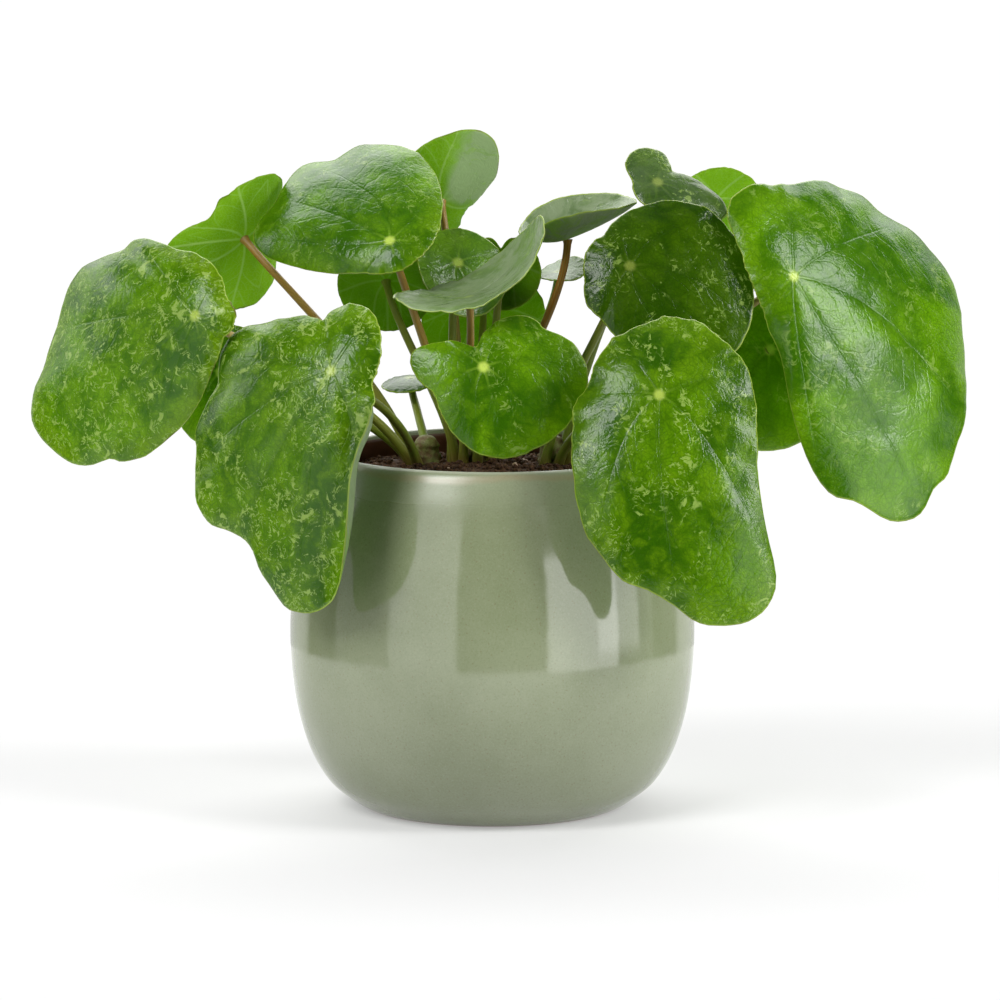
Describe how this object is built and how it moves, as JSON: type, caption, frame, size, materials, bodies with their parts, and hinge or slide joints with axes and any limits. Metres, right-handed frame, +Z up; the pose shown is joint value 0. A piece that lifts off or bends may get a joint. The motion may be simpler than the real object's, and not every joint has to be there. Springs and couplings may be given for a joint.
{
  "type": "potted pilea plant",
  "caption": "Potted pilea: round speckled leaves, each on its own long petiole fanning up from short crowns in dark potting mix, in a rounded glazed pot.",
  "frame": {"origin": "centre of the pot's flat foot, on the surface it stands on", "axes": "+Z up, -Y toward the plant's front, +X to the right seen from the front"},
  "size_m": [0.325, 0.14, 0.2309],
  "materials": {
    "glaze": "gloss",
    "potting_mix": "matte",
    "crown_bark": "matte",
    "leaf_green": "satin",
    "petiole_green": "satin"
  },
  "bodies": {
    "root": {"pot": "glaze", "soil": "potting_mix", "left_crown": "crown_bark", "middle_crown": "crown_bark", "right_crown": "crown_bark", "left_leaf": "leaf_green", "left_petiole": "petiole_green", "front_left_leaf": "leaf_green", "front_left_petiole": "petiole_green", "upper_left_leaf": "leaf_green", "upper_left_petiole": "petiole_green", "front_centre_leaf": "leaf_green", "front_centre_petiole": "petiole_green", "front_right_leaf": "leaf_green", "front_right_petiole": "petiole_green", "right_leaf": "leaf_green", "right_petiole": "petiole_green", "right_round_leaf": "leaf_green", "right_round_petiole": "petiole_green", "back_left_leaf": "leaf_green", "back_left_petiole": "petiole_green", "left_inner_leaf": "leaf_green", "left_inner_petiole": "petiole_green", "top_upright_leaf": "leaf_green", "top_upright_petiole": "petiole_green", "young_boat_leaf": "leaf_green", "young_boat_petiole": "petiole_green", "centre_small_leaf": "leaf_green", "centre_small_petiole": "petiole_green", "centre_back_leaf": "leaf_green", "centre_back_petiole": "petiole_green", "left_back_leaf": "leaf_green", "left_back_petiole": "petiole_green", "back_bright_leaf": "leaf_green", "back_bright_petiole": "petiole_green", "cupped_leaf": "leaf_green", "cupped_petiole": "petiole_green", "lobed_leaf": "leaf_green", "lobed_petiole": "petiole_green", "back_right_leaf": "leaf_green", "back_right_petiole": "petiole_green", "right_inner_leaf": "leaf_green", "right_inner_petiole": "petiole_green", "small_back_leaf": "leaf_green", "small_back_petiole": "petiole_green", "low_back_leaf": "leaf_green", "low_back_petiole": "petiole_green"}
  },
  "joints": []
}
